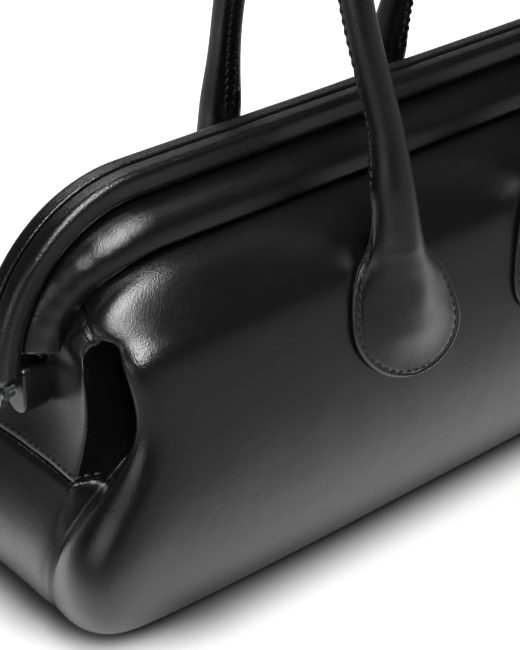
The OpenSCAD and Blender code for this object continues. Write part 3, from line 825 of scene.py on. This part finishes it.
def handle_seams(grid, rise, half):
    """Places of the stitches on the left half of a handle: round each leaf at one margin inside
    its edge, and up both sides of the butted seam of the leg and the arch."""
    pitch = mm("stitch_pitch")
    up = np.linspace(0.05, LEAF_SEWN, 400)
    wide = np.interp(up, rise, half)
    n = unit(np.stack([np.gradient(up), -np.gradient(wide)], 1))
    inside = np.stack([wide, up], 1) - mm("stitch_margin") * n
    inside = inside[inside[:, 0] > 0]
    leaf = evenly(np.concatenate([inside[::-1] * [-1, 1], inside]), pitch)
    leg_rise = np.arange(BUTTED[1], rise[-1] - 1, pitch)
    beside = np.interp(leg_rise, rise, half) - FROM_SEAM
    leg = [np.stack([across, leg_rise], 1) for across in (beside, -beside)]
    places = np.concatenate([leaf] + leg)
    normals = grid_normals(grid)

    def at(places):
        row = np.interp(places[:, 1], rise, np.arange(len(rise)))
        a = places[:, 0] / np.interp(places[:, 1], rise, half)
        col = (a + 1) / 2 * (grid.shape[1] - 1)
        return lookup(grid, row, col), unit(lookup(normals, row, col))

    step = np.concatenate([np.gradient(leaf, axis=0), np.tile([0, 1.0], (2 * len(leg_rise), 1))])
    middle, out = at(places)
    ahead = at(places + 0.4 * step / np.linalg.norm(step, axis=1, keepdims=True))[0]
    return middle + out * STITCH_PROUD, unit(ahead - middle), out


def end_seam():
    """Places of the stitches along the foot of the left gusset, at one height above its seam."""
    outer = gusset()[0]
    normals, up = grid_normals(outer), arc(outer, 0)
    cols = np.arange(outer.shape[1], dtype=float)
    row = np.array([np.interp(END_MARGIN, column, np.arange(len(up))) for column in up.T])
    s = arc(lookup(outer, row, cols))
    c = np.interp(np.arange(END_STOP, s[-1] - END_STOP, mm("stitch_pitch")), s, cols)
    r = np.interp(c, cols, row)
    middle, out = lookup(outer, r, c), unit(lookup(normals, r, c))
    ahead = lookup(outer, np.interp(c + 0.3, cols, row), c + 0.3)
    return middle + out * STITCH_PROUD, ahead - middle, out


# ---------------------------------------------------------------- finishes


class Nodes:
    """Makes the nodes of a material or a world. An input goes by its name, with underscores for
    spaces, or by its number after an underscore. It is set to a value or linked to an output."""

    def __init__(self, owner):
        owner.use_nodes = True
        self.owner, self.tree = owner, owner.node_tree

    def put(self, node, **inputs):
        """Sets or links inputs of a node."""
        for key, value in inputs.items():
            socket = node.inputs[int(key[1:]) if key[0] == "_" else key.replace("_", " ")]
            if isinstance(value, NodeSocket):
                self.tree.links.new(value, socket)
            else:
                socket.default_value = value

    def add(self, kind, out=0, settings=(), **inputs):
        """A new node, and its output of that name or number, or all of them for None."""
        node = self.tree.nodes.new("ShaderNode" + kind)
        for key, value in dict(settings).items():
            setattr(node, key, value)
        self.put(node, **inputs)
        return node.outputs if out is None else node.outputs[out]

    def noise(self, at, scale, detail, **inputs):
        """Soft random patches, with scale of them to a metre."""
        return self.add("TexNoise", "Fac", Vector=at, Scale=scale, Detail=detail, **inputs)

    def maths(self, operation, *values, vector=False, out=0):
        """An operation on numbers, or on vectors."""
        inputs = {f"_{k}": value for k, value in enumerate(values)}
        return self.add("VectorMath" if vector else "Math", out, {"operation": operation}, **inputs)

    def ramp(self, value, low, high, to_low, to_high, shape="LINEAR"):
        """From to_low where the value is low, to to_high where it is high."""
        return self.add("MapRange", 0, {"interpolation_type": shape}, _0=value, _1=low, _2=high,
                        _3=to_low, _4=to_high)

    def mix(self, share, first, second, how="MIX"):
        """The first colour, with a share of the second."""
        return self.add("Mix", 2, {"data_type": "RGBA", "blend_type": how}, _0=share, _6=first,
                        _7=second)

    def bump(self, height, strength, distance, **inputs):
        """Relief of a height, which the Normal input can lay over another relief."""
        return self.add("Bump", 0, Strength=strength, Distance=distance, Height=height, **inputs)

    def finish(self, **inputs):
        """Sets inputs of the material's shader, and gives the material."""
        self.put(self.tree.nodes["Principled BSDF"], **inputs)
        return self.owner


def leather_finish(nodes, rough, grain):
    """Polished box leather: dyed right through, with a fine pebble of about half a millimetre,
    soft creases of a few millimetres, polish that varies over centimetres, and a duller painted
    edge."""
    at = nodes.add("TexCoord", "Object")
    pebble = nodes.add("TexVoronoi", "Distance", Vector=at, Scale=1900.0, Randomness=1.0)
    pores = nodes.noise(at, 3000.0, 3.0, Roughness=0.6)
    creases = nodes.noise(at, 190.0, 3.0)
    swell = nodes.noise(at, 38.0, 2.0)
    polish = nodes.noise(at, 24.0, 5.0, Roughness=0.6)
    cut = nodes.add("Attribute", "Fac", {"attribute_name": "cut_edge"})
    fine = nodes.maths("MULTIPLY_ADD", pores, 0.6, pebble)
    skin = nodes.bump(fine, 0.26 * grain, 0.0002)
    soft = nodes.bump(creases, 0.07 * grain, 0.0005, Normal=skin)
    broad = nodes.bump(swell, 0.35, 0.0011, Normal=soft)
    dull = nodes.ramp(polish, 0.3, 0.7, rough - 0.035, rough + 0.055)
    dull = nodes.maths("MULTIPLY_ADD", cut, 0.22, dull)
    tint = nodes.mix(polish, dye("leather", 0.72), dye("leather"))
    tint = nodes.mix(cut, tint, dye("edge"))
    return nodes.finish(Base_Color=tint, Roughness=dull, Normal=broad, Specular_IOR_Level=0.25,
                        Coat_Weight=1.0, Coat_Roughness=0.17, Coat_Normal=broad)


def thread_finish(nodes):
    """Waxed thread: two plies that wind round the stitch."""
    at = nodes.add("TexCoord", "Object")
    plies = nodes.add("TexWave", "Fac", {"bands_direction": "DIAGONAL"}, Vector=at, Scale=900.0,
                      Distortion=1.5, Detail=1.0)
    tint = nodes.mix(plies, (0.006, 0.006, 0.006, 1), dye("thread"))
    return nodes.finish(Base_Color=tint, Normal=nodes.bump(plies, 0.5, 0.0001), Roughness=0.42)


def cotton_finish(nodes):
    """Plain-woven cotton: warp and weft on the surface's own measure, with slubs and a little
    fading."""
    at = nodes.add("TexCoord", "UV")
    warp, weft = (nodes.add("TexWave", "Fac", {"bands_direction": way}, Vector=at, Scale=320.0,
                            Distortion=0.6) for way in "XY")
    weave = nodes.maths("MAXIMUM", warp, weft)
    slub = nodes.noise(at, 90.0, 5.0)
    tint = nodes.mix(nodes.maths("MULTIPLY", weave, slub), dye("lining", 0.55), dye("lining"))
    return nodes.finish(Base_Color=tint, Normal=nodes.bump(weave, 0.6, 0.0002), Roughness=0.85,
                        Sheen_Weight=0.25)


def felt_finish(nodes, stuff, scale):
    """Felt, rope or pressed board: matted fibres, in patches of darker and paler stuff."""
    at = nodes.add("TexCoord", "Object")
    fibres = nodes.noise(at, scale, 6.0, Distortion=1.2)
    tint = nodes.mix(nodes.noise(at, 60.0, 3.0), dye(stuff, 0.6), dye(stuff))
    return nodes.finish(Base_Color=tint, Normal=nodes.bump(fibres, 0.7, 0.0003), Roughness=0.9)


def steel_finish(nodes):
    """Nickel-plated steel: faint draw lines and a cloudy shine."""
    at = nodes.add("TexCoord", "Object")
    cloud = nodes.noise(at, 90.0, 6.0)
    lines = nodes.noise(nodes.add("Mapping", Vector=at, Scale=(1, 25, 25)), 60.0, 4.0)
    tint = nodes.mix(cloud, dye("steel", 0.8), dye("steel"))
    return nodes.finish(Base_Color=tint, Normal=nodes.bump(lines, 0.15, 0.0001), Metallic=1.0,
                        Roughness=nodes.ramp(cloud, 0.3, 0.7, 0.18, 0.34))


# radius that rounds the corners of the outline by which the floor's painted shadow and glows are
# laid, in metres
OUTLINE_R = 0.05


def floor_with_painted_shadow_and_glow(nodes):
    """Pale floor with painted light on it, all by the distance out from the bag's own rounded
    outline: a painted shadow at the bag's foot, a painted darkening outwards where the floor
    shows in the leather's shine, a painted glow by the foot in that shine, and a painted glow
    seen by the eye that pales the floor outwards."""
    at, rays = nodes.add("TexCoord", "Object"), nodes.add("LightPath", None)
    flat = (mm("half_length") * MM - OUTLINE_R, mm("half_depth") * MM - OUTLINE_R, 0)
    away = nodes.maths("ABSOLUTE", at, vector=True)
    away = nodes.maths("SUBTRACT", away, flat, vector=True)
    away = nodes.maths("MAXIMUM", away, (0, 0, 0), vector=True)
    away = nodes.maths("LENGTH", away, vector=True, out="Value")
    far = nodes.maths("SUBTRACT", away, OUTLINE_R)
    glossy = rays["Is Glossy Ray"]
    # painted reflection: where the floor shows in the leather's shine, it darkens outwards from the
    # bag
    painted_darkening = nodes.ramp(far, 0.0, 0.14, 0.0, -0.7, "SMOOTHSTEP")
    shine = nodes.maths("MULTIPLY_ADD", glossy, painted_darkening, 1.0)
    # painted shadow: the floor darkens towards the bag's foot, for every kind of ray
    painted_shadow = nodes.ramp(far, -0.006, 0.017, 0.14, 1.0, "SMOOTHSTEP")
    tint = nodes.mix(nodes.noise(at, 6.0, 4.0), dye("floor", 0.97), dye("floor"))
    # the floor's colour takes the painted shadow and, in the leather's shine, the painted darkening
    for level in (shine, painted_shadow):
        tint = nodes.mix(1.0, tint, level, "MULTIPLY")
    seen = nodes.maths("MAXIMUM", rays["Is Camera Ray"], rays["Is Transmission Ray"])
    # painted glow seen by the eye: none by the bag's foot, rising outwards, so the floor pales away
    # from the bag
    pale = nodes.ramp(far, 0.01, 0.2, 0.0, 0.6, "SMOOTHSTEP")
    # painted glow in the leather's shine: the floor by the bag's foot glows in reflections, less
    # where the painted shadow falls
    near = nodes.maths("MULTIPLY", glossy, nodes.ramp(far, 0.01, 0.1, 0.35, 0.0, "SMOOTHSTEP"))
    near = nodes.maths("MULTIPLY", painted_shadow, near)
    glow = nodes.add("Emission", Color=(1, 1, 1, 1),
                     Strength=nodes.maths("MULTIPLY_ADD", seen, pale, near))
    material = nodes.finish(Base_Color=tint, Roughness=0.9, Specular_IOR_Level=0.2)
    both = nodes.add("AddShader", _0=nodes.tree.nodes["Principled BSDF"].outputs[0], _1=glow)
    nodes.put(nodes.tree.nodes["Material Output"], Surface=both)
    return material


def studio(nodes):
    """World: white to the eye, a soft grey for the light it gives, and in the leather's shine a
    dark room with a pale skyline on the right."""
    rays = nodes.add("LightPath", None)
    towards = nodes.add("SeparateXYZ", None, _0=nodes.add("TexCoord", "Generated"))
    seen = nodes.maths("MAXIMUM", rays["Is Camera Ray"], rays["Is Transmission Ray"])
    skyline = nodes.ramp(towards["X"], -0.4, 0.3, 0.05, 0.5, "SMOOTHSTEP")
    room = nodes.ramp(towards["Z"], 0.0, 0.3, skyline, 0.05, "SMOOTHSTEP")
    shine = nodes.ramp(rays["Is Glossy Ray"], 0.0, 1.0, 0.55, room)
    nodes.put(nodes.tree.nodes["Background"], Color=(1, 1, 1, 1),
              Strength=nodes.ramp(seen, 0.0, 1.0, shine, 1.0))


# each finish: its maker, the maker's own values, and the slot of the pieces that wear it
FINISHES = {
    "box leather": (leather_finish, (0.27, 1.0), "body_leather"),
    "stretched box leather": (leather_finish, (0.23, 1.5), "rail_leather"),
    "waxed thread": (thread_finish, (), "rail_leather"),
    "cotton lining": (cotton_finish, (), "lining_cloth"),
    "felt padding": (felt_finish, ("padding", 1400.0), "padding"),
    "rope core": (felt_finish, ("padding", 900.0), "padding"),
    "pressed board": (felt_finish, ("board", 700.0), None),
    "nickel plate": (steel_finish, (), None),
    "pale floor": (floor_with_painted_shadow_and_glow, (), None),
}


def painted(obj, finish):
    """A piece in one finish, whose material is made once."""
    material = bpy.data.materials.get(finish)
    if not material:
        maker, values, _ = FINISHES[finish]
        material = maker(Nodes(bpy.data.materials.new(finish)), *values)
    obj.data.materials.clear()
    obj.data.materials.append(material)


# ---------------------------------------------------------------- operators


def dressed(obj, finish, nodes, body=None, bend=None):
    """Gives a piece its finish, hides the CAD nodes that it stands for, and lets it ride on a
    body. A piece given a bend is only baked in place and rides on nothing."""
    painted(obj, finish)
    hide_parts(*nodes)
    if bend:
        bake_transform(obj)
    else:
        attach(obj, body)
    return obj


# depth and height, in metres, of both ends of a bend: of a wall's, from its frame to the body,
# and of a handle's, from the body to the handle
WALL_BEND = (0.015, 0.121), (0.025, 0.1027)
HANDLE_BEND = (0.0521, 0.097), (0.0521, 0.113)


def bend_ends(side, bend):
    """Both ends of a bend as points on the front or the back."""
    out = -1 if side == "front" else 1
    return [(0, depth * out, height) for depth, height in bend]


def wall_bend(side):
    """Frame and body of a wall's bend, and its ends: at the groove and below the shoulder."""
    return side + "_frame", "body", *bend_ends(side, WALL_BEND)


def handle_bend(side):
    """Body and handle of a handle's bend, and its ends, where the legs leave the wall."""
    return "body", side + "_handle", *bend_ends(side, HANDLE_BEND)


class BAG_OT_walls(Operator):
    """Front and back walls: lofted shells that roll in over the tucks and up into the groove"""

    bl_idname = "bag.walls"
    bl_label = "Front and back walls"

    def execute(self, context):
        grids = front_wall()
        for side in SIDES:
            dressed(sheet(side + "_wall", *on_side(side, *grids)), "box leather",
                    [side + "_panel"], bend=wall_bend(side))
        return {"FINISHED"}


class BAG_OT_ends(Operator):
    """Tucked gussets, each in a front and a back half, and the flaps under them"""

    bl_idname = "bag.ends"
    bl_label = "Gussets and end flaps"

    def execute(self, context):
        grids, flap = gusset(), end_piece(0, SEAM_V, 60)
        for end in ENDS:
            for half in SIDES:
                dressed(sheet(f"{end}_{half}_gusset", *end_half(end, half, grids)),
                        "box leather", [end + "_gusset"], bend=wall_bend(half))
            dressed(sheet(end + "_flap", *on_side(end, *flap)), "box leather",
                    [end + "_end_flap"], "body")
        return {"FINISHED"}


class BAG_OT_base(Operator):
    """Leather under the base, its board and the cloth over it"""

    bl_idname = "bag.base"
    bl_label = "Base"

    def execute(self, context):
        leather = layer("base_leather", low=0, high=2, inset=0.5, soft=0.8)
        dressed(leather, "box leather", ["base_panel"], "body")
        cloth = layer("base_cloth", low=4, high=4 + CLOTH, inset=2.0, soft=0.3)
        dressed(cloth, "cotton lining", ["base_lining"], "body")
        painted(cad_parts["base_board"], "pressed board")
        return {"FINISHED"}


class BAG_OT_linings(Operator):
    """Cotton linings that hang inside the walls"""

    bl_idname = "bag.linings"
    bl_label = "Linings"

    def execute(self, context):
        def hung(name, grids, node, side):
            cloth = dressed(sheet(name, *grids), "cotton lining", [node], bend=wall_bend(side))

        grids = lining_grids(end=False)
        for side in SIDES:
            hung(side + "_cloth", on_side(side, *grids), side + "_lining", side)
        grids = lining_grids(end=True)
        for end in ENDS:
            for half in SIDES:
                hung(f"{end}_{half}_end_cloth", end_half(end, half, grids), end + "_end_lining",
                     half)
        return {"FINISHED"}


class BAG_OT_rails(Operator):
    """Leather round the two rails of the frame, and the felt inside it"""

    bl_idname = "bag.rails"
    bl_label = "Rails"

    def execute(self, context):
        felt_rings = along_frame(rail_section(FELT_IN))
        front = rail("front_rail"), solid("front_rail_felt", felt_rings)
        for side, pieces in zip(SIDES, (front, [mirrored(piece) for piece in front])):
            dressed(pieces[0], "stretched box leather", [side + "_rail_cover"], side + "_frame")
            dressed(pieces[1], "felt padding", [side + "_rail_core"], side + "_frame")
        return {"FINISHED"}


class BAG_OT_rolls(Operator):
    """Padded rolls under the rails"""

    bl_idname = "bag.rolls"
    bl_label = "Padded rolls"

    def execute(self, context):
        front = padded_roll("front_padded_roll")
        for side, obj in zip(SIDES, (front, mirrored(front))):
            dressed(obj, "stretched box leather", [side + "_roll"], side + "_frame")
        return {"FINISHED"}


class BAG_OT_hinges(Operator):
    """Leather tongues at the ends of the rolls, and the steel of the hinges"""

    bl_idname = "bag.hinges"
    bl_label = "Hinges"

    def execute(self, context):
        left = hinge_leather("left_hinge_leather")
        for end, obj in zip(ENDS, (left, mirrored(left, ENDS, axis=0))):
            dressed(obj, "stretched box leather", [end + "_roll_end"], "body")
        for name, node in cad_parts.items():
            if name.endswith(("_bar", "_eye", "_rivet")):
                painted(node, "nickel plate")
        return {"FINISHED"}


class BAG_OT_handles(Operator):
    """Rolled handles, each cut in one piece with the two leaves that are sewn to the wall"""

    bl_idname = "bag.handles"
    bl_label = "Handles"

    def execute(self, context):
        rope = None
        for side, twist in SEAM_TURN.items():
            grid, rise, half, edge = handle_grid(twist)
            under = handle_grid(twist, mm("cover_leather"))[0]
            cut = hump(edge, 0.7) * (1 - smooth(rise, *PAINTED))[:, None]
            grids = on_side(side, whole_handle(grid), whole_handle(under))
            nodes = [f"{side}_{end}_tab" for end in ENDS] + [side + "_handle_cover"]
            dressed(sheet(side + "_handle", *grids, edge=np.concatenate([cut, cut[-2::-1]])),
                    "stretched box leather", nodes, bend=handle_bend(side))
            seams = [np.concatenate([v, left_to_right(v)]) for v in handle_seams(grid, rise, half)]
            if side == "back":
                seams = [front_to_back(v) for v in seams]
            dressed(stitches(side + "_handle_stitches", *seams), "waxed thread", [],
                    bend=handle_bend(side))
            rope = mirrored(rope) if rope else solid("front_handle_rope", handle_rope())
            dressed(rope, "rope core", [side + "_handle_core"], side + "_handle")
        return {"FINISHED"}


class BAG_OT_end_stitches(Operator):
    """Stitches along the level seam between each gusset and its end flap"""

    bl_idname = "bag.end_stitches"
    bl_label = "End stitches"

    def execute(self, context):
        left = end_seam()
        for end, seam in zip(ENDS, (left, [left_to_right(v) for v in left])):
            dressed(stitches(end + "_end_stitches", *seam), "waxed thread", [], "body")
        return {"FINISHED"}


# ---------------------------------------------------------------- the stage

CAMERA_AT, CAMERA_LENS = (-0.45018, -0.45526, 0.41523), 105.23
CAMERA_AZIMUTH, CAMERA_ELEVATION = math.radians(-40.41), math.radians(30.56)
# lamps: place, what they point at, size in metres, and watts
LAMPS = {"left softbox": ((-0.263, -0.52, 1.217), (-0.071, -0.292, 0.072), (0.3, 1.2), 18),
         "back softbox": ((0.3, 1.1, 1.3), (0, 0, 0.1), (0.9, 0.4), 3),
         "left card": ((-1.15, -0.22, 0.38), (-0.16, -0.04, 0.05), (0.8, 0.4), 1.3)}
FLOOR_REACH, FLOOR_LOW = 4000, 0.3


def lamp(name, at, to, size, power):
    """A rectangular lamp at a place, turned to point at another."""
    data = bpy.data.lights.new(name, "AREA")
    data.shape, data.energy = "RECTANGLE", power
    data.size, data.size_y = size
    obj = placed(name, data)
    obj.location = at
    obj.rotation_euler = (Vector(to) - Vector(at)).to_track_quat("-Z", "Y").to_euler()


class BAG_OT_stage(Operator):
    """Pale floor with a painted shadow at the bag's foot and painted glows, soft lamps and the
    camera
    """

    bl_idname = "bag.stage"
    bl_label = "Stage"

    def execute(self, context):
        scene = context.scene
        scene.view_settings.view_transform = "Standard"
        u, v = np.meshgrid(np.linspace(-1, 1, 41), np.linspace(-1, 1, 41))
        points = np.stack([u * FLOOR_REACH, v * FLOOR_REACH, 0 * u - FLOOR_LOW], -1)
        floor = mesh_object("floor", points, grid_faces(*u.shape))
        # the floor wears painted light: a painted shadow at the bag's foot and painted glows
        painted(floor, "pale floor")
        scene.world = bpy.data.worlds.new("studio")
        studio(Nodes(scene.world))
        for name, settings in LAMPS.items():
            lamp(name, *settings)
        camera = bpy.data.cameras.new("camera")
        camera.sensor_width, camera.lens = 36, CAMERA_LENS
        camera.clip_start, camera.clip_end = 0.01, 50
        scene.camera = placed("camera", camera)
        scene.camera.matrix_world = (
            Matrix.Translation(CAMERA_AT) @ Matrix.Rotation(CAMERA_AZIMUTH, 4, "Z")
            @ Matrix.Rotation(math.pi / 2 - CAMERA_ELEVATION, 4, "X"))
        return {"FINISHED"}


class BAG_PT_panel(Panel):
    """Lists the pieces of the bag, its sizes and its colours"""

    bl_idname = "BAG_PT_panel"
    bl_label = "Doctor Bag"
    bl_space_type = "VIEW_3D"
    bl_region_type = "UI"
    bl_category = "Doctor Bag"

    def draw(self, context):
        column = self.layout.column(align=True)
        for step in STEPS:
            column.operator(step.bl_idname)
        for group in (context.scene.bag_sizes, context.scene.bag_colours):
            box = self.layout.box().column()
            for key in group.__annotations__:
                box.prop(group, key)


STEPS = (BAG_OT_walls, BAG_OT_ends, BAG_OT_base, BAG_OT_linings, BAG_OT_rails, BAG_OT_rolls,
         BAG_OT_hinges, BAG_OT_handles, BAG_OT_end_stitches, BAG_OT_stage)
CLASSES = (BagSizes, BagColours) + STEPS + (BAG_PT_panel,)


def register():
    for cls in CLASSES:
        bpy.utils.register_class(cls)
    bpy.types.Scene.bag_sizes = PointerProperty(type=BagSizes)
    bpy.types.Scene.bag_colours = PointerProperty(type=BagColours)


def unregister():
    del bpy.types.Scene.bag_colours
    del bpy.types.Scene.bag_sizes
    for cls in reversed(CLASSES):
        bpy.utils.unregister_class(cls)


def main():
    register()
    for step in STEPS:
        group, name = step.bl_idname.split(".")
        getattr(getattr(bpy.ops, group), name)()


if __name__ == "__main__":
    main()
